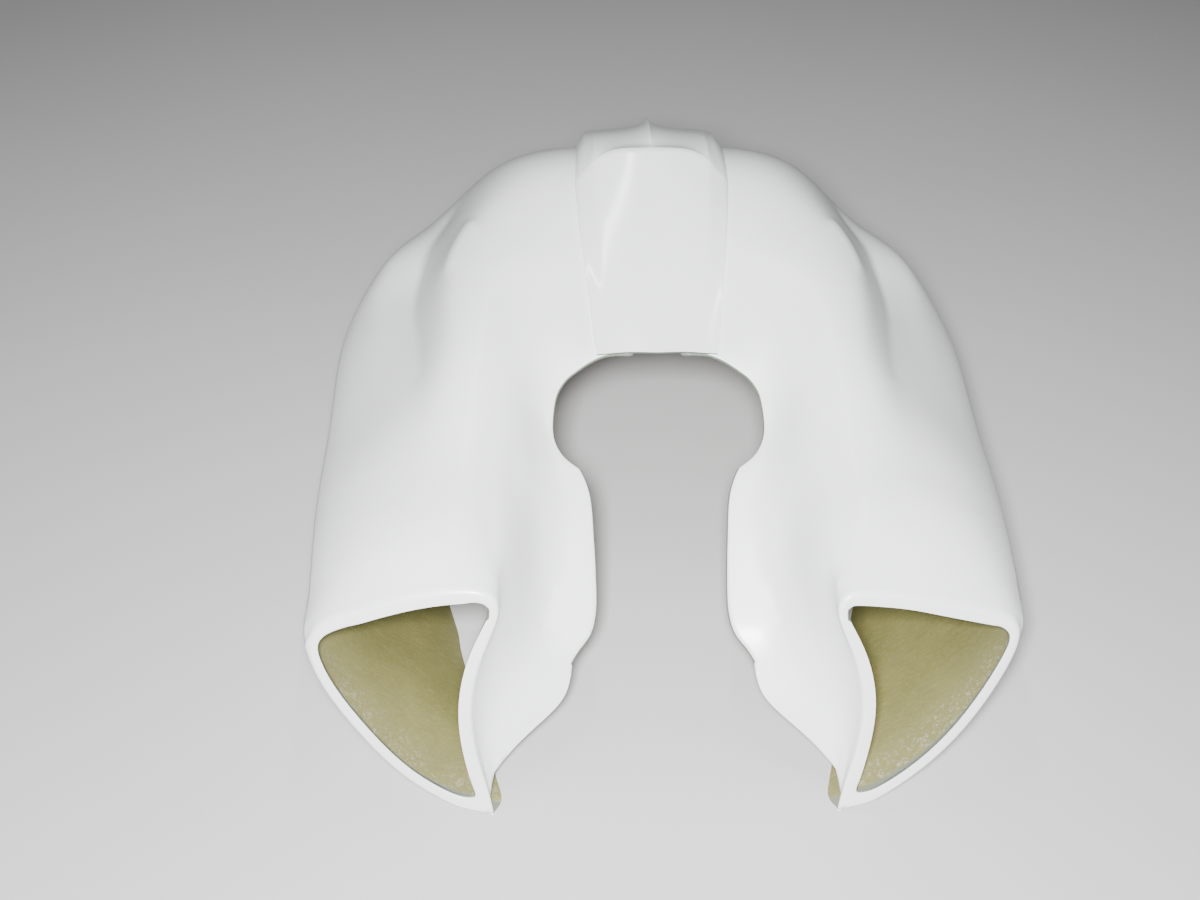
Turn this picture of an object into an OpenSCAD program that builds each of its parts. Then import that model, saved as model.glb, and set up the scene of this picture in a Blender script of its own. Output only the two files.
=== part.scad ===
// Saddle-shaped motorcycle fairing in glass-fibre laminate: an open-bottomed dome with a keyhole
// for the steering head, two legs that end in forward-facing scoop mouths, and a separate cover
// strip bonded along its centre line.
// X is the width, -Y the way the scoops face, Z up. The sill edges stand on Z = 0.

/* [Overall] */
// Width over the two side shoulders
body_w = 490; // [470:1:510]
// Length from the scoop tips to the rear edge
body_l = 598; // [580:1:620]
// Height of the dome on the centre line
dome_h = 269; // [260:1:280]
// Height of the shoulder that runs along each side
shoulder_h = 133; // [124:1:142]
// Height of the crown of each leg, half way along it
crown_h = 185; // [178:1:192]
// Height of the crease between the dome and the side lobe
crease_h = 184; // [178:1:194]
// Width over the sill edges, beside the dome
sill_w = 364; // [350:1:380]
// Height of the rear edge on the centre line
rear_edge_h = 45; // [30:1:60]
// Laminate thickness of the shell
wall = 2.5; // [1.8:0.1:3.5]

/* [Scoop mouths] */
// Distance between the two scoop tips
tip_gap = 234; // [224:1:244]
// Distance between the inner top corners of the two mouths
mouth_inner_gap = 222; // [214:1:230]
// Distance over the outer corners of the two mouths
mouth_outer_w = 470; // [460:1:478]
// Height of the top edge of the mouth
mouth_top_h = 154; // [150:1:158]
// Height of the outer corner of the mouth
mouth_outer_h = 120; // [114:1:128]
// Lean of the mouth plane from upright
mouth_rake = 22; // [18:0.5:26]
// Width of the flat band turned inwards round the mouth
rim_band = 8.5; // [7:0.5:10]
// How much wider that band grows at the tip
tip_web = 4; // [0:0.5:6]
// Radius between the band and the outer skin
rim_r = 4; // [3:0.5:5]
// Depth of the valley in the skin behind the inner side of the rim
valley_d = 8; // [0:0.5:9]

/* [Keyhole] */
// Slope of the keyhole edge, seen from the side
edge_rake = 38; // [36:0.5:40]
// Width of the slot between the two flanges
slot_w = 92; // [84:1:100]
// Width of the keyhole below the slot, where the edge steps out
lower_w = 129; // [120:1:138]
// Width of the keyhole behind the slot, for the yoke
yoke_w = 151; // [142:1:160]
// Distance of the lower step behind the scoop tips
lower_step_y = 89; // [84:1:94]
// Distance of the upper step behind the scoop tips
upper_step_y = 192; // [186:1:198]
// Distance of the rear edge of the keyhole behind the scoop tips
keyhole_end_y = 257; // [252:1:262]
// Width of the relief in the shell below the front edge of the strip
relief_w = 32; // [24:1:40]
// Depth of that relief
relief_d = 10; // [6:0.5:14]

/* [Centre strip] */
// Width of the strip at its front edge
strip_front_w = 88; // [80:1:96]
// Greatest width of the strip, beside the crest
strip_w = 117; // [110:1:124]
// Width of the strip at its tail
strip_tail_w = 80; // [70:1:96]
// Height of the hood crest over the shell
crest_h = 21; // [16:0.5:25]
// Height of the deck behind the crest over the shell
deck_h = 11; // [8:0.5:14]
// Height of the keel ridge over the deck
keel_h = 11; // [7:0.5:14]
// Laminate thickness of the strip
strip_wall = 2.5; // [1.8:0.1:3.5]
// Bond line between the strip and the shell
bond_gap = 0.4; // [0.3:0.1:0.8]

/* [Hidden] */

// Splines with tangents weighted by the chord lengths
function unit(v) = v / max(norm(v), 1e-9);
function chord(p, q) = max(norm(q - p), 1e-6);
function tangent(p, i) =
    i == 0 ? (p[1] - p[0]) / chord(p[0], p[1])
    : i == len(p) - 1 ? (p[i] - p[i - 1]) / chord(p[i - 1], p[i])
    : let (a = chord(p[i - 1], p[i]), b = chord(p[i], p[i + 1]))
      ((p[i + 1] - p[i]) * a / b + (p[i] - p[i - 1]) * b / a) / (a + b);
function along(p, x) =
    let (i = max(0, min(floor(x), len(p) - 2)), t = x - i, d = chord(p[i], p[i + 1]))
    p[i] * (2 * t * t * t - 3 * t * t + 1)
    + p[i + 1] * (3 * t * t - 2 * t * t * t)
    + tangent(p, i) * d * (t * t * t - 2 * t * t + t)
    + tangent(p, i + 1) * d * (t * t * t - t * t);
// Index along a table whose first column is the key
function place(table, key, i = 0) =
    i >= len(table) - 2 || key <= table[i + 1][0]
    ? i + (key - table[i][0]) / (table[i + 1][0] - table[i][0])
    : place(table, key, i + 1);
function tail(row) = [for (i = [1 : len(row) - 1]) row[i]];
function curve(table, key) = along([for (row = table) tail(row)], place(table, key));
function steps(counts) =
    [for (i = [0 : len(counts) - 1]) for (k = [0 : counts[i] - 1]) i + k / counts[i], len(counts)];

// Sections of the shell. Each runs from the keyhole edge (line 0) to the sill edge (line 9) over
// flange foot, slope top, crown, dome shoulder, crease, lobe, outer shoulder and side.
half_w = body_w / 2;
half_sill = sill_w / 2;
edge_slope = tan(edge_rake);
rake_slope = tan(mouth_rake);
leg_front_y = 95;
leg_middle_y = 160;
leg_rear_y = 238;
hub_y = 197;
corner_angle = 45;
quarter_angle = 67;
lobe_h = crease_h - 13;

leg_front = [
    [slot_w / 2 + 6, leg_front_y * edge_slope], [86, 84], [109, crown_h - 31], [127, crown_h - 19],
    [152, crown_h - 16], [180, crown_h - 19], [212, shoulder_h + 20], [half_w - 4, shoulder_h - 7],
    [half_w - 41, 58], [half_sill - 46, 0]];
leg_middle = [
    [slot_w / 2 + 1, leg_middle_y * edge_slope], [slot_w / 2 + 24, 131], [108, crown_h - 12],
    [130, crown_h - 1], [152, crown_h], [178, crown_h - 7], [212, shoulder_h + 30],
    [half_w, shoulder_h - 3], [half_w - 32, 62], [half_sill - 31, 0]];
leg_rear = [
    [yoke_w / 2 - 3, leg_rear_y * edge_slope], [yoke_w / 2 + 5, 189], [104, 208], [130, 219],
    [150, 214], [172, 193], [208, shoulder_h + 34], [half_w, shoulder_h],
    [half_w - 25, 64], [half_sill - 11, 0]];
corner = [
    [73, 195], [87, 204], [122, 224], [168, dome_h - 25], [212, dome_h - 29], [255, crease_h + 3],
    [295, lobe_h + 3], [325, shoulder_h + 9], [300, 68], [262, 0]];
quarter = [
    [66, 200], [79, 207], [112, 226], [166, dome_h - 17], [232, dome_h - 1], [316, crease_h + 41],
    [350, lobe_h + 12], [370, shoulder_h + 9], [376, 80], [368, 10]];
centre = [
    [62, 201], [75, 208], [104, 224], [158, dome_h - 19], [228, dome_h], [318, dome_h - 47],
    [350, 180], [372, 138], [390, 90], [body_l - hub_y, rear_edge_h]];

function upright(y, section) = [for (p = section) [p[0], y, p[1]]];
function fanned(angle, section) =
    [for (p = section) [p[0] * cos(angle), hub_y + p[0] * sin(angle), p[1]]];
function mirrored(points) = [for (p = points) [-p[0], p[1], p[2]]];

// Outline of the mouth in its leaning plane: line number, distance from the centre, height.
// Its tip runs a little below the trimmed edge.
tip_x = tip_gap / 2;
inner_x = mouth_inner_gap / 2;
outer_x = mouth_outer_w / 2;
tip_drop = 2;
mouth = [
    [0, tip_x, -tip_drop], [0.33, tip_x + 3, 16], [0.67, tip_x + 9.5, 36], [1, tip_x + 14, 58],
    [1.33, tip_x + 15, 80], [1.6, tip_x + 11, 101], [1.8, inner_x + 9, 118], [2, inner_x, 134],
    [2.33, inner_x - 1, mouth_top_h - 9], [2.67, inner_x + 6, mouth_top_h - 1],
    [3, inner_x + 17, mouth_top_h], [4, inner_x + 41, mouth_top_h - 1],
    [5, inner_x + 69, mouth_top_h - 6], [6, outer_x - 24, mouth_outer_h + 19],
    [6.5, outer_x - 8, mouth_outer_h + 12], [7, outer_x, mouth_outer_h], [7.3, outer_x - 3, 105],
    [7.65, outer_x - 13, 84], [8, outer_x - 31, 57], [8.33, tip_x + 59, 28], [8.67, tip_x + 28, 7],
    [8.85, tip_x + 11, 0.5], [9, tip_x, -tip_drop]];
function mouth_point(v) = let (q = curve(mouth, v)) [q[0], q[1] * rake_slope, q[1]];

// Keyhole edge: station number, distance from the centre, distance behind the tips
slot_x = slot_w / 2;
lower_x = lower_w / 2;
yoke_x = yoke_w / 2;
keyhole = [
    [0, tip_x, 0], [0.12, tip_x + 3.5, 10], [0.27, tip_x + 1, 23], [0.42, tip_x - 12, 36],
    [0.56, 88, 48], [0.7, lower_x + 6, lower_step_y - 29], [0.8, lower_x + 1, lower_step_y - 19],
    [0.9, lower_x - 1, lower_step_y - 8], [1, lower_x - 7, lower_step_y],
    [1.08, slot_x + 3, lower_step_y + 7], [1.2, slot_x, lower_step_y + 17], [1.55, slot_x - 0.5, 130],
    [1.93, slot_x + 1, 155], [2.25, slot_x + 4, upper_step_y - 12], [2.38, slot_x + 10, upper_step_y - 2],
    [2.48, yoke_x - 8, upper_step_y + 4], [2.6, yoke_x - 2, upper_step_y + 12], [2.78, yoke_x, 217],
    [2.95, yoke_x - 2, 231], [3.2, yoke_x - 9, keyhole_end_y - 16], [3.55, yoke_x - 18, keyhole_end_y - 10],
    [4.05, 46, keyhole_end_y - 4], [4.45, 37, keyhole_end_y - 1], [4.9, 27, keyhole_end_y],
    [5.3, relief_w / 2 + 2, keyhole_end_y + 0.5], [5.36, relief_w / 2, keyhole_end_y + 3],
    [5.42, relief_w / 2 - 2, keyhole_end_y + relief_d - 1], [5.7, relief_w / 4, keyhole_end_y + relief_d],
    [6, 0, keyhole_end_y + relief_d]];
front_slope = (centre[1][1] - centre[0][1]) / (centre[1][0] - centre[0][0]);
function keyhole_point(s) = let (q = curve(keyhole, s), back = max(q[1] - keyhole_end_y, 0))
    [q[0], q[1], (q[1] - back) * edge_slope + back * front_slope];

// Outer skin: s counts the sections from the mouth to the centre line, v the lines across
function section_points(v) = [
    mouth_point(v),
    along(upright(leg_front_y, leg_front), v),
    along(upright(leg_middle_y, leg_middle), v),
    along(upright(leg_rear_y, leg_rear), v),
    along(fanned(corner_angle, corner), v),
    along(fanned(quarter_angle, quarter), v),
    along(fanned(90, centre), v),
    along(mirrored(fanned(quarter_angle, quarter)), v)];
// Valley that sets the rim off from the panel between it and the keyhole
valley_end = [0.75, 1.65];
function swell(t) = t <= 0 || t >= 1 ? 0 : pow(sin(180 * t), 2);
function valley(s, v) = valley_d * swell(pow(s / valley_end[0], 0.6)) * swell(v / valley_end[1])
    * unit([1, 0.6, -0.5]);
function edge_fade(v) = v >= 1 ? 0 : (1 - v) * (1 - v) * (1 + 2 * v);
function skin(s, v, across) = along(across, s)
    + valley(s, v)
    + (v >= 1 ? [0, 0, 0] : edge_fade(v) * (keyhole_point(s) - along(section_points(0), s)));

line_steps = [3, 3, 3, 2, 2, 2, 3, 2, 3];
line_places = steps(line_steps);
nv = len(line_places) - 1;
row_gap = 0.17;
rows = [for (i = [0 : len(keyhole) - 2])
    let (a = keyhole[i][0], b = keyhole[i + 1][0], n = ceil((b - a) / row_gap - 0.01))
    for (k = [1 : n]) a + (b - a) * k / n];
sections_by_line = [for (v = line_places) section_points(v)];

// Rolled rim of the mouth: flat band, then a rounded corner into the skin
mouth_line = [for (v = line_places) mouth_point(v)];
function ring(k) = (k + nv) % nv;
function inward(k) = let (
    a = unit(mouth_line[k % nv] - mouth_line[ring(k - 1)]),
    b = unit(mouth_line[ring(k + 1)] - mouth_line[k % nv]),
    plane = unit([0, -1, rake_slope]),
    n = unit(cross(a, plane) + cross(b, plane)))
    n / max(norm(cross(n, a)), 0.5);
tip_reach = 45;
function band(k) =
    rim_band + tip_web * pow(max(1 - norm(mouth_line[k] - mouth_line[0]) / tip_reach, 0), 2);
first_row = [for (k = [0 : nv]) skin(0.06, line_places[k], sections_by_line[k])];
function backward(k) = unit(first_row[k] - mouth_line[k]);
tip_back = unit(backward(0) + backward(nv));
function rim_corner(k, t) = let (
    m = mouth_line[k],
    back = k == 0 || k == nv ? tip_back : backward(k))
    m + (1 - t) * (1 - t) * rim_r * inward(k) + t * t * rim_r * back;
rim_rows = [
    [for (k = [0 : nv]) mouth_line[k] + band(k) * inward(k)],
    for (t = [0, 0.35, 0.65, 1]) [for (k = [0 : nv]) rim_corner(k, t)]];
skin_rows = [for (s = rows) [for (k = [0 : nv]) skin(s, line_places[k], sections_by_line[k])]];
// The lower edges are trimmed flat on the plane that the fairing stands on
function trimmed(p) = [p[0], p[1], max(p[2], 0)];
half_rows = [for (row = concat(rim_rows, skin_rows)) [for (p = row) trimmed(p)]];
last_ring = len(rim_rows) - 1;
middle = len(half_rows) - 1;
last = 2 * middle;

// Inner face: the outer one moved in by the laminate along its own normals
function grid_point(j, k) = j <= middle ? half_rows[j][k]
    : let (p = half_rows[last - j][k]) [-p[0], p[1], p[2]];
function closed_row(j) = j <= last_ring || j >= last - last_ring;
function side_step(j, k) = closed_row(j)
    ? grid_point(j, ring(k + 1)) - grid_point(j, ring(k - 1))
    : grid_point(j, min(k + 1, nv)) - grid_point(j, max(k - 1, 0));
function inner_normal(j, k) = let (
    n = unit(cross(grid_point(min(j + 1, last), k) - grid_point(max(j - 1, 0), k), side_step(j, k))))
    j == middle ? unit([0, n[1], n[2]]) : n;
// On the sill the inner face stops at the same trimmed edge, so the step is taken level
function inner_point(j, k) = let (p = grid_point(j, k), n = inner_normal(j, k), flat = [n[0], n[1], 0])
    trimmed(p + wall * (p[2] > 0 || closed_row(j) ? n : flat / (flat * flat)));

function row_len(j) = closed_row(j) ? nv : nv + 1;
row_start = [for (j = 0, n = 0; j <= last; n = n + row_len(j), j = j + 1) n];
count = row_start[last] + nv;
function id(j, k) = row_start[j] + (closed_row(j) ? k % nv : k);
function quad(a, b, c, d, flip) = flip ? [[a, b, d], [b, c, d]] : [[a, b, c], [a, c, d]];
function skin_quads(shift, turned) = [
    for (j = [0 : last - 1]) for (k = [0 : nv - 1])
    let (a = shift + id(j, k), b = shift + id(j, k + 1),
         c = shift + id(j + 1, k + 1), d = shift + id(j + 1, k))
    for (f = turned ? quad(d, c, b, a, j < middle) : quad(a, b, c, d, j >= middle)) f];
function edge_quads(k, turned) = [
    for (j = [last_ring : last - last_ring - 1])
    let (a = id(j, k), b = id(j + 1, k), c = count + b, d = count + a)
    for (f = turned ? quad(a, b, c, d, false) : quad(d, c, b, a, false)) f];
function hole_quads(j, turned) = [
    for (k = [0 : nv - 1])
    let (a = id(j, k), b = id(j, k + 1), c = count + b, d = count + a)
    for (f = turned ? quad(a, b, c, d, false) : quad(d, c, b, a, false)) f];

front_y = min([for (row = rim_rows) for (p = row) p[1]]);
centre_y = (front_y + body_l) / 2;

module body_shell() {
    color("white")
    translate([0, -centre_y, 0])
    polyhedron(
        points = concat(
            [for (j = [0 : last]) for (k = [0 : row_len(j) - 1]) grid_point(j, k)],
            [for (j = [0 : last]) for (k = [0 : row_len(j) - 1]) inner_point(j, k)]),
        faces = concat(
            skin_quads(0, true), skin_quads(count, false),
            edge_quads(0, false), edge_quads(nv, true),
            hole_quads(0, true), hole_quads(last, false)),
        convexity = 12);
}

// Centre strip: rows run from its front edge over the hood crest to its tail. Columns of a row:
// line of the shell below, half width, lift of the centre, of the hood corner and of the haunch,
// keel height, how far the row bends forward at its ends, and how far it bows back on the way.
flush = bond_gap + strip_wall;
half_strip = strip_w / 2;
crest_line = 3.75;
crest_corner_drop = 7;
crest_corner_h = crest_h - crest_corner_drop;
crest_haunch_h = crest_h * 0.38;
hood_rows = [
    [-0.1, strip_front_w / 2, flush + 0.8, flush, flush, 0, 0, 0.42],
    [1.9, half_strip - 9.5, flush + 1.4, flush + 0.4, flush, 0, 0, 0.1],
    [3, half_strip - 3, flush + 8, flush + 5.5, flush + 2, 0, 0.06, 0],
    [crest_line, half_strip, crest_h, crest_corner_h, crest_haunch_h, 0, 0.22, 0]];
deck_rows = [
    [crest_line, half_strip, crest_h, crest_corner_h, crest_haunch_h, 0, 0.22, 0],
    [3.84, half_strip - 0.3, crest_h - 4.5, deck_h + 3, crest_haunch_h, keel_h * 0.3, 0.2, 0],
    [4.02, half_strip - 1, deck_h + 2.5, deck_h + 1.5, deck_h - 2.5, keel_h * 0.75, 0.12, 0],
    [4.4, half_strip - 2.5, deck_h, deck_h, deck_h - 1, keel_h, 0, 0],
    [5, half_strip - 6, deck_h, deck_h, deck_h - 1.5, keel_h * 0.9, 0, 0],
    [6, half_strip - 10, deck_h * 0.6 + 1, deck_h * 0.6 + 1, deck_h * 0.5 + 1, keel_h * 0.5, 0, 0],
    [7, half_strip - 14, flush + 0.8, flush + 0.6, flush + 0.3, keel_h * 0.1, 0, 0],
    [7.6, strip_tail_w / 2, flush, flush, flush, 0, 0, 0]];
hood_steps = 9;
deck_steps = 13;
// Rows of the deck lie closer together behind the crest
row_crowding = 1.5;
// Places across the half width: corner of the hood, haunch below its bevel, and where a row
// starts to bend forward
corner_f = 0.77;
haunch_f = 0.9;
bend_f = 0.6;
columns = [0, 0.04, 0.09, 0.18, 0.32, 0.5, 0.66, corner_f, 0.82, haunch_f, 0.96, 1];
// The keel is a narrow ridge on a broad concave rise
ridge_part = 0.3;
ridge_f = 0.045;
rise_f = 0.3;
function keel(f) = ridge_part * exp(-f / ridge_f) + (1 - ridge_part) * exp(-f / rise_f);

function base(s, v) = along(section_points(v), s);
function base_normal(s, v) = let (h = 0.02)
    unit(cross(base(s, v + h) - base(s, v - h), base(s + h, v) - base(s - h, v)));
function seek(lines, x, low, high, n = 16) = let (m = (low + high) / 2)
    n == 0 ? m : along(lines, m)[0] > x ? seek(lines, x, m, high, n - 1) : seek(lines, x, low, m, n - 1);
function lift(q, f) = let (
    top = f <= corner_f ? q[2] + (q[3] - q[2]) * pow(f / corner_f, 3)
        : f <= haunch_f ? q[3] + (q[4] - q[3]) * (f - corner_f) / (haunch_f - corner_f)
        : q[4] + (flush - q[4]) * pow((f - haunch_f) / (1 - haunch_f), 1.3))
    top + q[5] * keel(f);
strip_rows = concat(
    [for (i = [0 : hood_steps]) curve_row(hood_rows, i / hood_steps)],
    [for (i = [1 : deck_steps]) curve_row(deck_rows, pow(i / deck_steps, row_crowding))]);
function curve_row(table, t) = let (
    v = table[0][0] + (table[len(table) - 1][0] - table[0][0]) * t)
    concat([v], curve(table, v));
function strip_point(q, f, under) = let (
    v = q[0] - q[6] * max(f - bend_f, 0) / (1 - bend_f) + q[7] * f * f,
    s = f == 0 ? 6 : seek(section_points(v), f * q[1], 4, 6),
    n = base_normal(s, v),
    top = lift(q, f))
    base(s, v) + n * (under ? (f == 1 ? bond_gap : max(bond_gap, top - strip_wall)) : top);
function both_sides(points) = concat(
    [for (i = [len(points) - 1 : -1 : 1]) [-points[i][0], points[i][1], points[i][2]]], points);
strip_grid = [for (under = [false, true]) [for (q = strip_rows)
    both_sides([for (f = columns) strip_point(q, f, under)])]];
strip_cols = 2 * len(columns) - 1;
strip_last = len(strip_rows) - 1;
function strip_id(side, i, c) = (side * (strip_last + 1) + i) * strip_cols + c;
function strip_faces(side) = [
    for (i = [0 : strip_last - 1]) for (c = [0 : strip_cols - 2])
    let (a = strip_id(side, i, c), b = strip_id(side, i, c + 1),
         d = strip_id(side, i + 1, c), e = strip_id(side, i + 1, c + 1),
         turned = c >= strip_cols / 2 - 1)
    for (f = side == 0 ? quad(d, e, b, a, turned) : quad(a, b, e, d, turned)) f];
function strip_border() = concat(
    [for (i = [0 : strip_last - 1]) strip_id(0, i, 0)],
    [for (c = [0 : strip_cols - 2]) strip_id(0, strip_last, c)],
    [for (i = [strip_last : -1 : 1]) strip_id(0, i, strip_cols - 1)],
    [for (c = [strip_cols - 1 : -1 : 1]) strip_id(0, 0, c)]);

module centre_strip() {
    border = strip_border();
    under = (strip_last + 1) * strip_cols;
    color("whitesmoke")
    translate([0, -centre_y, 0])
    polyhedron(
        points = [for (side = strip_grid) for (row = side) for (p = row) p],
        faces = concat(strip_faces(0), strip_faces(1),
            [for (i = [0 : len(border) - 1])
                let (a = border[i], b = border[(i + 1) % len(border)])
                for (f = quad(a + under, b + under, b, a, false)) f]),
        convexity = 8);
}

body_shell();
centre_strip();
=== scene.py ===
"""A white laminate motorcycle fairing with two air scoops, on a pale studio floor."""
from math import cos, radians, sin

import bpy
import bmesh
from mathutils import Matrix, Vector


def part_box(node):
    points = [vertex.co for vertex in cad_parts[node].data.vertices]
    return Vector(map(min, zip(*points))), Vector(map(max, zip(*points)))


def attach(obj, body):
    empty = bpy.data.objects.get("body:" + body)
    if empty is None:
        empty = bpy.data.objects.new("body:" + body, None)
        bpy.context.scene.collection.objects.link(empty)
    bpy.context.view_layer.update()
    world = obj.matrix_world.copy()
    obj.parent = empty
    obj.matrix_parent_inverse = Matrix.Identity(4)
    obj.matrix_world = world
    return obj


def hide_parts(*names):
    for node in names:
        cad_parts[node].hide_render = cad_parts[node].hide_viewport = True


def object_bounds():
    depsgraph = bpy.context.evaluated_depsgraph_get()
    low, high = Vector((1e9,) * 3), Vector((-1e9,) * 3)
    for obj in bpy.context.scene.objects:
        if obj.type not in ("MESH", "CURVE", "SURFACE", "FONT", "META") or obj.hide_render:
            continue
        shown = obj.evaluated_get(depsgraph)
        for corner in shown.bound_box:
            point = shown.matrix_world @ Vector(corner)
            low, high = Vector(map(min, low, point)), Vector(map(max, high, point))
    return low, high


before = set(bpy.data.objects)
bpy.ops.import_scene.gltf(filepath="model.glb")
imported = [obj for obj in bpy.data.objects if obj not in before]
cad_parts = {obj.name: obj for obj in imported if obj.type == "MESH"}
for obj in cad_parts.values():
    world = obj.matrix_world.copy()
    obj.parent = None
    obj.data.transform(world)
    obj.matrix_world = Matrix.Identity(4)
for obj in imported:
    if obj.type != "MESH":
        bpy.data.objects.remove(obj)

cad_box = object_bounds()

# Camera, as fitted to the photograph: metres and degrees
camera_place = (-0.068, -0.958, 0.879)
camera_down = 40.0
camera_yaw = 1.7
camera_roll = 0.7
lens_mm = 46.9
sensor_mm = 36.0

# Lights, floor and surround: metres, watts and linear colours
key_place = (-0.10, -1.00, 0.95)
key_target = (0, 0, 0.1)
key_size = (0.14, 0.14)
key_power = 58
key_colour = (1.0, 0.985, 1.0)
tube_place = (-0.035, 0.09, 1.30)
tube_turn = (0, 0, radians(-4))
tube_size = (0.05, 0.46)
tube_power = 2.6
tube_colour = (1, 1, 1)
floor_side = 12
surround_colour = (0.80, 0.84, 0.83, 1)
surround_strength = 0.05

# Shape work: metres and radians
merge_distance = 0.00002
any_angle = radians(180)
cut_edge_angle = radians(50)
crest_angle = radians(20)
valley_angle = radians(9)
smooth_angle = radians(38)
shell_levels = 2
strip_levels = 3
cut_edge_crease = 0.9
chamfer = 0.0012
chamfer_above = 0.06
chamfer_angle = radians(32)
valley_from = -0.06
crest_crease = 0.9
valley_crease = 0.75

# A seed of paint takes a face that looks its way, to this cosine, before any other, which counts
# as so many metres farther off
same_way = 0.5
wrong_side = 1.0

# An edge whose direction has this much of X lies across the strip; this amount takes a crease off
mostly_across = 0.5
crease_off = -1.0

# Places on the shell's +X side, metres
lobe_crown = (0.197, 0.115, 0.178)
valley_floor = (0.168, 0.133, 0.198)
outer_corner = (0.2245, -0.2475, 0.1225)
corner_shoulder = (0.236, -0.247, 0.120)
inner_corner = (0.118, -0.237, 0.150)
upper_rim = (0.160, -0.240, 0.150)
outer_rim = (0.222, -0.262, 0.085)
lower_rim = (0.185, -0.278, 0.045)
leg_tip = (0.131, -0.291, 0.012)

# The mouths lean back by this angle. Their laminate shows a dull lip, scuffs and painted light
# that lightens it near the rim, so far in, metres
mouth_rake = radians(22)
lip_depth = 0.0107
scuffed_depth = 0.036
painted_light_depth = 0.07

# Index of the clear top coat, and colours, linear
coat_index = 1.6
gelcoat_light = (0.80, 0.82, 0.81, 1)
gelcoat_dull = (0.74, 0.77, 0.755, 1)
resin_dark = (0.095, 0.091, 0.023, 1)
resin_light = (0.160, 0.153, 0.044, 1)
# Painted light: a lighter yellow mixed into the inner laminate near the mouths, as if lit through
# them
painted_light_colour = (0.31, 0.30, 0.14, 1)
resin_dust = (0.45, 0.46, 0.38, 1)
fibre_colour = (0.36, 0.345, 0.165, 1)
lip_colour = (0.17, 0.19, 0.145, 1)
cut_dark = (0.08, 0.10, 0.08, 1)
cut_light = (0.20, 0.235, 0.19, 1)
floor_colour = (0.50, 0.50, 0.495, 1)
floor_patches = (0.54, 0.54, 0.535, 1)
speck_colour = (0.55, 0.56, 0.54, 1)
black = (0, 0, 0, 1)
white_value = (1, 1, 1, 1)
# How much of the painted light the inner laminate takes at the rim
painted_light_at_rim = (0.38, 0.38, 0.38, 1)

# The fibres inside: radians that set five samples of noise apart, cells in each metre along and
# across a strand, and what strands and grit each add to the fibre colour
strand_turns = (0.15, 0.85, 1.5, 2.2, 2.8)
strand_tilt_step = 0.4
strand_lean_step = 0.3
strand_along = 110
strand_along_step = 17
strand_across = 900
strand_share = 0.24
grit_share = 0.22


# Nodes of a material

def new_material(name):
    material = bpy.data.materials.new(name)
    material.use_nodes = True
    tree = material.node_tree
    shader = tree.nodes["Principled BSDF"]
    return material, tree, shader


def place_on(tree, scale=(1, 1, 1), turn=(0, 0, 0)):
    """Object coordinates through a Mapping node."""
    coords = tree.nodes.new("ShaderNodeTexCoord")
    mapping = tree.nodes.new("ShaderNodeMapping")
    mapping.inputs["Scale"].default_value = scale
    mapping.inputs["Rotation"].default_value = turn
    tree.links.new(coords.outputs["Object"], mapping.inputs["Vector"])
    return mapping.outputs["Vector"]


def noise(tree, vector, scale, detail=3.0, roughness=0.5, distortion=0.0):
    node = tree.nodes.new("ShaderNodeTexNoise")
    node.inputs["Scale"].default_value = scale
    node.inputs["Detail"].default_value = detail
    node.inputs["Roughness"].default_value = roughness
    node.inputs["Distortion"].default_value = distortion
    tree.links.new(vector, node.inputs["Vector"])
    return node.outputs["Fac"]


def ramp(tree, value, low, high, dark=black, light=white_value):
    node = tree.nodes.new("ShaderNodeValToRGB")
    node.color_ramp.elements[0].position = low
    node.color_ramp.elements[0].color = dark
    node.color_ramp.elements[1].position = high
    node.color_ramp.elements[1].color = light
    tree.links.new(value, node.inputs["Fac"])
    return node.outputs["Color"]


def mix(tree, factor, first, second):
    node = tree.nodes.new("ShaderNodeMix")
    node.data_type = "RGBA"
    tree.links.new(factor, node.inputs["Factor"])
    for value, socket in ((first, node.inputs["A"]), (second, node.inputs["B"])):
        if isinstance(value, tuple):
            socket.default_value = value
        else:
            tree.links.new(value, socket)
    return node.outputs["Result"]


def arithmetic(tree, operation, first, second):
    node = tree.nodes.new("ShaderNodeMath")
    node.operation = operation
    for value, socket in ((first, node.inputs[0]), (second, node.inputs[1])):
        if isinstance(value, (int, float)):
            socket.default_value = value
        else:
            tree.links.new(value, socket)
    return node.outputs["Value"]


def between(tree, value, low, high):
    node = tree.nodes.new("ShaderNodeMapRange")
    node.inputs["To Min"].default_value = low
    node.inputs["To Max"].default_value = high
    tree.links.new(value, node.inputs["Value"])
    return node.outputs["Result"]


def bump(tree, height, strength, distance, under=None):
    node = tree.nodes.new("ShaderNodeBump")
    node.inputs["Strength"].default_value = strength
    node.inputs["Distance"].default_value = distance
    tree.links.new(height, node.inputs["Height"])
    if under is not None:
        tree.links.new(under, node.inputs["Normal"])
    return node.outputs["Normal"]


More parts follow.
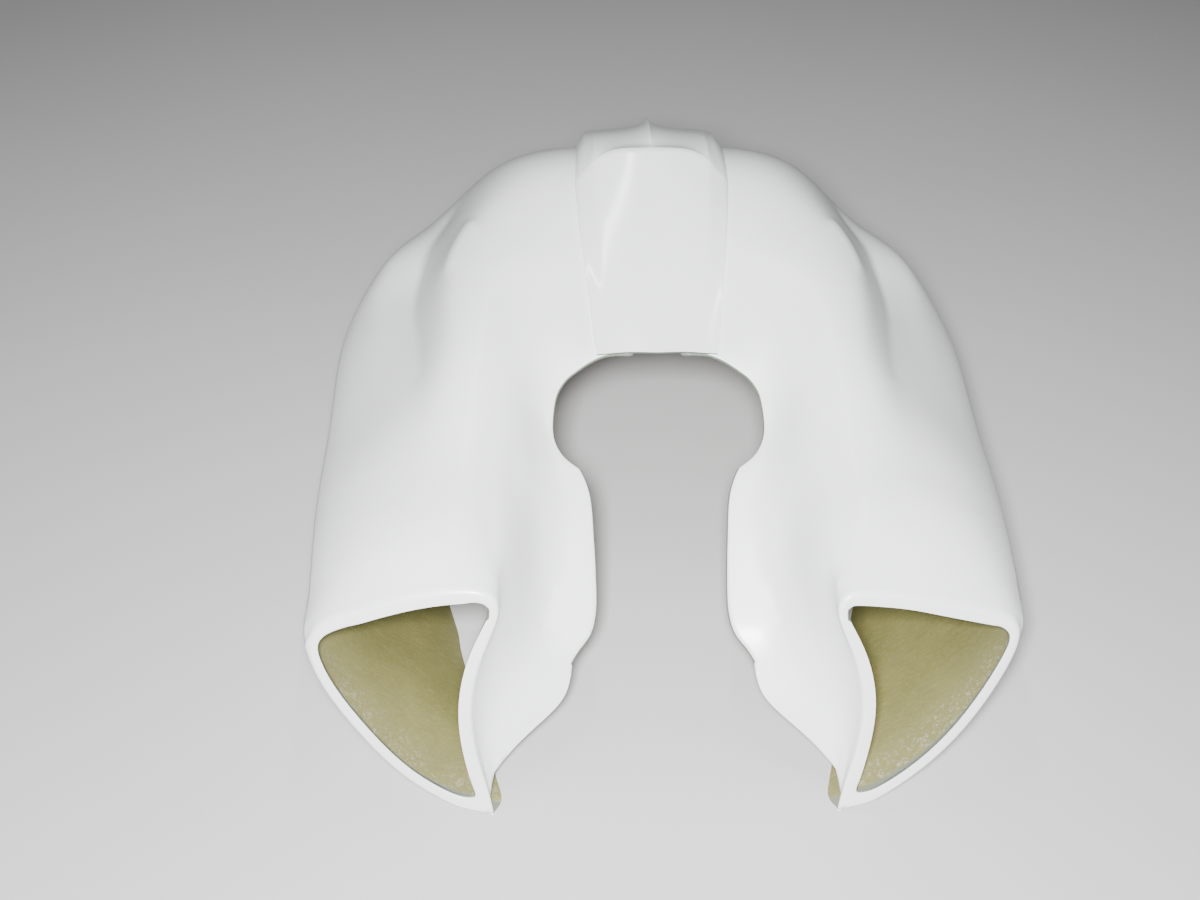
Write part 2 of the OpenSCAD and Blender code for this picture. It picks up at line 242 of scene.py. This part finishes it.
def gelcoat(name, roughness, coat, coat_roughness, waviness):
    """White gelcoat: faint clouding, hand-laid waviness and a few specks of dust."""
    material, tree, shader = new_material(name)
    here = place_on(tree)
    clouds = noise(tree, here, scale=9, detail=4, roughness=0.55)
    colour = mix(tree, ramp(tree, clouds, low=0.35, high=0.68), gelcoat_dull, gelcoat_light)
    specks = noise(tree, here, scale=420, detail=1, roughness=0.4)
    colour = mix(tree, ramp(tree, specks, low=0.80, high=0.84), colour, speck_colour)
    tree.links.new(colour, shader.inputs["Base Color"])
    gloss = between(tree, noise(tree, here, scale=28, detail=5, roughness=0.6), *roughness)
    tree.links.new(gloss, shader.inputs["Roughness"])
    shader.inputs["Coat Weight"].default_value = coat
    shader.inputs["Coat Roughness"].default_value = coat_roughness
    shader.inputs["Coat IOR"].default_value = coat_index
    waves = noise(tree, here, scale=14, detail=2, roughness=0.4)
    waves = bump(tree, waves, strength=waviness, distance=0.004)
    peel = noise(tree, here, scale=700, detail=2, roughness=0.5)
    peel = bump(tree, peel, strength=0.06, distance=0.0004, under=waves)
    tree.links.new(peel, shader.inputs["Normal"])
    return material


def behind_mouth(tree):
    """How far a point lies behind the raked plane of the two mouths, in metres."""
    node = tree.nodes.new("ShaderNodeVectorMath")
    node.operation = "DOT_PRODUCT"
    node.inputs[1].default_value = (0, cos(mouth_rake), -sin(mouth_rake))
    tree.links.new(place_on(tree), node.inputs[0])
    return arithmetic(tree, "ADD", node.outputs["Value"], -cad_box[0][1] * cos(mouth_rake))


def fades_inward(tree, depth, reach, start, at_rim=white_value):
    """A value that holds at the rim up to a share of the reach and is gone at the reach."""
    share = arithmetic(tree, "MULTIPLY", depth, 1 / reach)
    return ramp(tree, share, low=start, high=1.0, dark=at_rim, light=black)


def strand_pattern(tree):
    """Strands that all lie across the length: a turn picks another sample of the same stretch."""
    strands = None
    for i, turn in enumerate(strand_turns):
        along = strand_along + strand_along_step * i
        lean = (strand_tilt_step * i, strand_lean_step * i, turn)
        vector = place_on(tree, (along, strand_across, along), lean)
        strand = noise(tree, vector, scale=1.0, detail=2, roughness=0.5, distortion=0.6)
        strands = strand if strands is None else arithmetic(tree, "MAXIMUM", strands, strand)
    return strands


def raw_laminate():
    """The inner face: fibres in amber resin, with painted light and scuffs near the mouths."""
    material, tree, shader = new_material("raw_laminate")
    strands = strand_pattern(tree)
    here = place_on(tree)
    patches = noise(tree, here, scale=13, detail=3, roughness=0.55, distortion=0.3)
    colour = mix(tree, ramp(tree, patches, low=0.30, high=0.72), resin_dark, resin_light)
    grit = noise(tree, here, scale=1500, detail=2, roughness=0.6)
    grit = arithmetic(tree, "MULTIPLY", ramp(tree, grit, low=0.35, high=0.70), grit_share)
    fibre = arithmetic(tree, "MULTIPLY", ramp(tree, strands, low=0.58, high=0.78), strand_share)
    colour = mix(tree, arithmetic(tree, "ADD", fibre, grit), colour, fibre_colour)
    depth = behind_mouth(tree)
    # Painted light: the laminate is lighter near the mouths and darker farther in, as if lit
    # through them
    painted_light = fades_inward(tree, depth, painted_light_depth, start=0.10, at_rim=painted_light_at_rim)
    colour = mix(tree, painted_light, colour, painted_light_colour)
    near_rim = fades_inward(tree, depth, scuffed_depth, start=0.25)
    scuffs = noise(tree, here, scale=300, detail=8, roughness=0.8, distortion=0.7)
    scuffs = ramp(tree, scuffs, low=0.51, high=0.63)
    worn = ramp(tree, noise(tree, here, scale=26, detail=2, roughness=0.5), low=0.25, high=0.55)
    dust = arithmetic(tree, "MULTIPLY", arithmetic(tree, "MULTIPLY", scuffs, near_rim), worn)
    colour = mix(tree, dust, colour, resin_dust)
    lip = fades_inward(tree, depth, lip_depth, start=0.80)
    colour = mix(tree, lip, colour, lip_colour)
    tree.links.new(colour, shader.inputs["Base Color"])
    tree.links.new(between(tree, patches, low=0.40, high=0.62), shader.inputs["Roughness"])
    lumps = noise(tree, here, scale=60, detail=4, roughness=0.6)
    lumps = bump(tree, lumps, strength=0.30, distance=0.0012)
    relief = bump(tree, strands, strength=0.22, distance=0.0005, under=lumps)
    tree.links.new(relief, shader.inputs["Normal"])
    return material


def cut_edge():
    """The trimmed edge of the laminate: dull grey-green glass and resin."""
    material, tree, shader = new_material("cut_laminate_edge")
    grain = noise(tree, place_on(tree), scale=900, detail=4, roughness=0.7)
    colour = mix(tree, ramp(tree, grain, low=0.3, high=0.7), cut_dark, cut_light)
    tree.links.new(colour, shader.inputs["Base Color"])
    shader.inputs["Roughness"].default_value = 0.72
    relief = bump(tree, grain, strength=0.4, distance=0.0003)
    tree.links.new(relief, shader.inputs["Normal"])
    return material


def pale_floor():
    """A matt light grey with faint broad patches."""
    material, tree, shader = new_material("pale_floor")
    grain = noise(tree, place_on(tree), scale=3, detail=4, roughness=0.5)
    colour = mix(tree, grain, floor_colour, floor_patches)
    tree.links.new(colour, shader.inputs["Base Color"])
    shader.inputs["Roughness"].default_value = 0.85
    return material


# Shape work in edit mode

def edit(piece, select="EDGE"):
    """Opens a piece in edit mode with nothing selected."""
    bpy.ops.object.select_all(action="DESELECT")
    piece.select_set(True)
    bpy.context.view_layer.objects.active = piece
    bpy.ops.object.mode_set(mode="EDIT")
    bpy.ops.mesh.select_mode(type=select)
    bpy.ops.mesh.select_all(action="DESELECT")


def leave_edit():
    bpy.ops.object.mode_set(mode="OBJECT")


def moulding_from(node, name):
    """A piece with the CAD node's form: its triangles merged and joined back into quads."""
    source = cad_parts[node]
    piece = source.copy()
    piece.data = source.data.copy()
    piece.name = name
    piece.data.name = name
    bpy.context.scene.collection.objects.link(piece)
    piece.parent = None
    piece.matrix_world = Matrix.Identity(4)
    piece.data.materials.clear()
    edit(piece)
    bpy.ops.mesh.select_all(action="SELECT")
    bpy.ops.mesh.remove_doubles(threshold=merge_distance)
    bpy.ops.mesh.tris_convert_to_quads(face_threshold=any_angle, shape_threshold=any_angle,
                                       topology_influence=2.0)
    leave_edit()
    print(name, "faces", len(piece.data.polygons),
          "triangles", sum(len(p.vertices) == 3 for p in piece.data.polygons))
    return piece


def crease_edges(piece, angle, amount):
    """Holds the edges that turn more than an angle against the subdivision."""
    edit(piece)
    bpy.ops.mesh.edges_select_sharp(sharpness=angle)
    bpy.ops.transform.edge_crease(value=amount)
    leave_edit()


def pick_near(piece, place, reach):
    """Opens a piece in edit mode with the points near a place selected."""
    edit(piece, "VERT")
    mesh = bmesh.from_edit_mesh(piece.data)
    for point in mesh.verts:
        point.select = (point.co - Vector(place)).length < reach
    mesh.select_flush_mode()
    bmesh.update_edit_mesh(piece.data)
    if not any(point.select for point in mesh.verts):
        raise ValueError("no point of the skin lies near %s" % (place,))


def mirrored(place):
    """The same place, or move, on the other side of the middle plane."""
    return (-place[0], place[1], place[2])


def swell(piece, place, pick, reach, move):
    """Moves the skin near a place by an amount that fades out over the reach."""
    pick_near(piece, place, pick)
    bpy.ops.transform.translate(value=move, use_proportional_edit=True,
                                proportional_edit_falloff="SMOOTH", proportional_size=reach)
    leave_edit()


def swell_both(piece, place, pick, reach, move):
    swell(piece, place, pick, reach, move)
    swell(piece, mirrored(place), pick, reach, mirrored(move))


def soften_both(piece, place, pick, times):
    """Evens out the skin near a place and near its mirror place."""
    for centre in (place, mirrored(place)):
        pick_near(piece, centre, pick)
        bpy.ops.mesh.vertices_smooth(factor=0.5, repeat=times)
        leave_edit()


def free_both(piece, place, pick):
    """Lets the subdivision round the corners near a place and near its mirror place."""
    for centre in (place, mirrored(place)):
        pick_near(piece, centre, pick)
        bpy.ops.transform.edge_crease(value=crease_off)
        leave_edit()


def crease_crest(piece, nearest, farthest, amount):
    """Keeps the line across the strip where the hood ends, out to its two slanting ends."""
    edit(piece)
    mesh = bmesh.from_edit_mesh(piece.data)
    for line in mesh.edges:
        middle = (line.verts[0].co + line.verts[1].co) / 2
        across = abs((line.verts[1].co - line.verts[0].co).normalized().x)
        line.select = (nearest < middle.y < farthest and across > mostly_across
                       and line.calc_face_angle(0) > valley_angle)
    bmesh.update_edit_mesh(piece.data)
    bpy.ops.transform.edge_crease(value=amount)
    leave_edit()


def crease_valleys(piece, nearest, farthest, lowest):
    """Keeps the sharp line where the dome meets each side lobe, on both faces of the laminate."""
    edit(piece)
    mesh = bmesh.from_edit_mesh(piece.data)
    for line in mesh.edges:
        middle = (line.verts[0].co + line.verts[1].co) / 2
        turn = line.calc_face_angle_signed(0)
        hollow = -turn if line.link_faces[0].normal.z > 0 else turn
        line.select = (valley_angle < hollow < cut_edge_angle and nearest < abs(middle.x) < farthest
                       and middle.z > lowest and middle.y > valley_from)
    bmesh.update_edit_mesh(piece.data)
    bpy.ops.transform.edge_crease(value=valley_crease)
    leave_edit()


def seed_face(mesh, place, normal):
    """The face nearest to a place among those that face a seed's way."""
    return min(mesh.faces, key=lambda face: (face.calc_center_median() - Vector(place)).length
               + wrong_side * (face.normal.dot(Vector(normal)) < same_way))


def paint_faces(piece, materials, seeds):
    """Gives each seed's smooth stretch of faces its material; what is left keeps the first."""
    for material in materials:
        piece.data.materials.append(material)
    for index, seed in seeds:
        edit(piece, "FACE")
        mesh = bmesh.from_edit_mesh(piece.data)
        start = seed_face(mesh, *seed)
        start.select = True
        mesh.faces.active = start
        bmesh.update_edit_mesh(piece.data)
        bpy.ops.mesh.faces_select_linked_flat(sharpness=cut_edge_angle)
        piece.active_material_index = index
        bpy.ops.object.material_slot_assign()
        leave_edit()
    count = [sum(f.material_index == i for f in piece.data.polygons) for i in range(len(materials))]
    print(piece.name, "faces of each material", count)


def chamfer_cut(piece, reach):
    """Dresses the skin's cut edge round the keyhole, down to a height, so that laminate shows."""
    edit(piece)
    mesh = bmesh.from_edit_mesh(piece.data)
    for line in mesh.edges:
        middle = (line.verts[0].co + line.verts[1].co) / 2
        line.select = (sorted(face.material_index for face in line.link_faces) == [0, 1]
                       and abs(middle.x) < reach and middle.z > chamfer_above)
    bmesh.update_edit_mesh(piece.data)
    bpy.ops.mesh.bevel(offset=chamfer, segments=1, affect="EDGES", material=0, clamp_overlap=True)
    leave_edit()


def smoothed(piece, levels):
    """Applies a subdivision and shades the piece smooth, except at sharp edges."""
    modifier = piece.modifiers.new("smooth_skin", "SUBSURF")
    modifier.levels = levels
    modifier.render_levels = levels
    modifier.boundary_smooth = "ALL"
    bpy.ops.object.select_all(action="DESELECT")
    piece.select_set(True)
    bpy.context.view_layer.objects.active = piece
    bpy.ops.object.modifier_apply(modifier=modifier.name)
    bpy.ops.object.shade_smooth_by_angle(angle=smooth_angle)
    print(piece.name, "triangles", sum(len(p.vertices) - 2 for p in piece.data.polygons))


white = gelcoat("white_gelcoat", roughness=(0.34, 0.48), coat=0.20, coat_roughness=0.20,
                waviness=0.10)
polished = gelcoat("polished_gelcoat", roughness=(0.34, 0.46), coat=0.85, coat_roughness=0.13,
                   waviness=0.03)
raw = raw_laminate()
edge = cut_edge()

top_of = {node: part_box(node)[1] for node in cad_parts}


def make_shell():
    """The laminate moulding, with the small forms that its solid leaves out."""
    piece = moulding_from("body_shell", "shell_moulding")
    top = top_of["body_shell"][2]
    crease_edges(piece, cut_edge_angle, cut_edge_crease)
    swell_both(piece, lobe_crown, pick=0.016, reach=0.050, move=(0.004, 0, 0.006))
    swell_both(piece, valley_floor, pick=0.016, reach=0.024, move=(-0.001, 0, -0.003))
    soften_both(piece, outer_corner, pick=0.014, times=1)
    soften_both(piece, inner_corner, pick=0.012, times=1)
    swell(piece, mirrored(outer_rim), pick=0.018, reach=0.070, move=(-0.005, 0, -0.002))
    swell(piece, mirrored(lower_rim), pick=0.018, reach=0.060, move=(-0.003, 0, -0.004))
    swell(piece, upper_rim, pick=0.030, reach=0.060, move=(0, 0, -0.006))
    swell_both(piece, corner_shoulder, pick=0.014, reach=0.035, move=(0.003, 0, 0))
    swell(piece, outer_rim, pick=0.018, reach=0.060, move=(-0.002, 0, 0.001))
    crease_valleys(piece, nearest=0.15, farthest=0.195, lowest=0.17)
    outside = ((0.07, 0.1, top), (0, 0, 1))
    inside = ((0.07, 0.1, top - 0.003), (0, 0, -1))
    paint_faces(piece, (edge, white, raw), ((1, outside), (2, inside)))
    chamfer_cut(piece, reach=0.12)
    crease_edges(piece, chamfer_angle, cut_edge_crease)
    free_both(piece, outer_corner, pick=0.016)
    free_both(piece, inner_corner, pick=0.014)
    free_both(piece, leg_tip, pick=0.012)
    smoothed(piece, shell_levels)
    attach(piece, "root")
    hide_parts("body_shell")


def make_strip():
    """The cover on the centre line, with its hood and deck."""
    piece = moulding_from("centre_strip", "strip_moulding")
    top = top_of["centre_strip"][2]
    crease_edges(piece, crest_angle, crest_crease)
    crease_edges(piece, cut_edge_angle, cut_edge_crease)
    crease_crest(piece, nearest=0.085, farthest=0.1065, amount=crest_crease)
    deck_above = ((0.01, 0.12, top), (0, 0, 1))
    hood_above = ((0.01, 0.03, top), (0, -0.6, 0.8))
    deck_below = ((0.01, 0.12, top - 0.006), (0, 0, -1))
    hood_below = ((0.01, 0.03, top - 0.01), (0, 0.6, -0.8))
    paint_faces(piece, (edge, polished, raw),
                ((1, deck_above), (1, hood_above), (2, deck_below), (2, hood_below)))
    smoothed(piece, strip_levels)
    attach(piece, "root")
    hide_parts("centre_strip")


def set_camera():
    data = bpy.data.cameras.new("camera")
    data.lens = lens_mm
    data.sensor_width = sensor_mm
    data.sensor_fit = "HORIZONTAL"
    camera = bpy.data.objects.new("camera", data)
    bpy.context.scene.collection.objects.link(camera)
    turn = (Matrix.Rotation(radians(-camera_yaw), 4, "Z")
            @ Matrix.Rotation(radians(90 - camera_down), 4, "X")
            @ Matrix.Rotation(radians(camera_roll), 4, "Z"))
    camera.matrix_world = Matrix.Translation(camera_place) @ turn
    bpy.context.scene.camera = camera


def aimed(place, target):
    """The turn that points a light from a place to a target."""
    return (Vector(target) - Vector(place)).to_track_quat("-Z", "Y").to_euler()


def area_light(name, place, turn, size, power, colour):
    data = bpy.data.lights.new(name, "AREA")
    data.shape = "RECTANGLE"
    data.size, data.size_y = size
    data.energy = power
    data.color = colour
    light = bpy.data.objects.new(name, data)
    bpy.context.scene.collection.objects.link(light)
    light.location = place
    light.rotation_euler = turn


def studio():
    """A pale floor, a light beside the camera, a tube overhead and an even surround."""
    bpy.ops.object.select_all(action="DESELECT")
    bpy.ops.mesh.primitive_plane_add(size=floor_side, location=(0, 0, 0))
    floor = bpy.context.object
    floor.name = "studio_floor"
    floor.data.materials.append(pale_floor())
    area_light("beside_camera", key_place, aimed(key_place, key_target), key_size, key_power,
               key_colour)
    area_light("ceiling_tube", tube_place, tube_turn, tube_size, tube_power, tube_colour)
    world = bpy.data.worlds.new("surround")
    world.use_nodes = True
    world.node_tree.nodes["Background"].inputs["Color"].default_value = surround_colour
    world.node_tree.nodes["Background"].inputs["Strength"].default_value = surround_strength
    bpy.context.scene.world = world


set_camera()
make_shell()
make_strip()
studio()
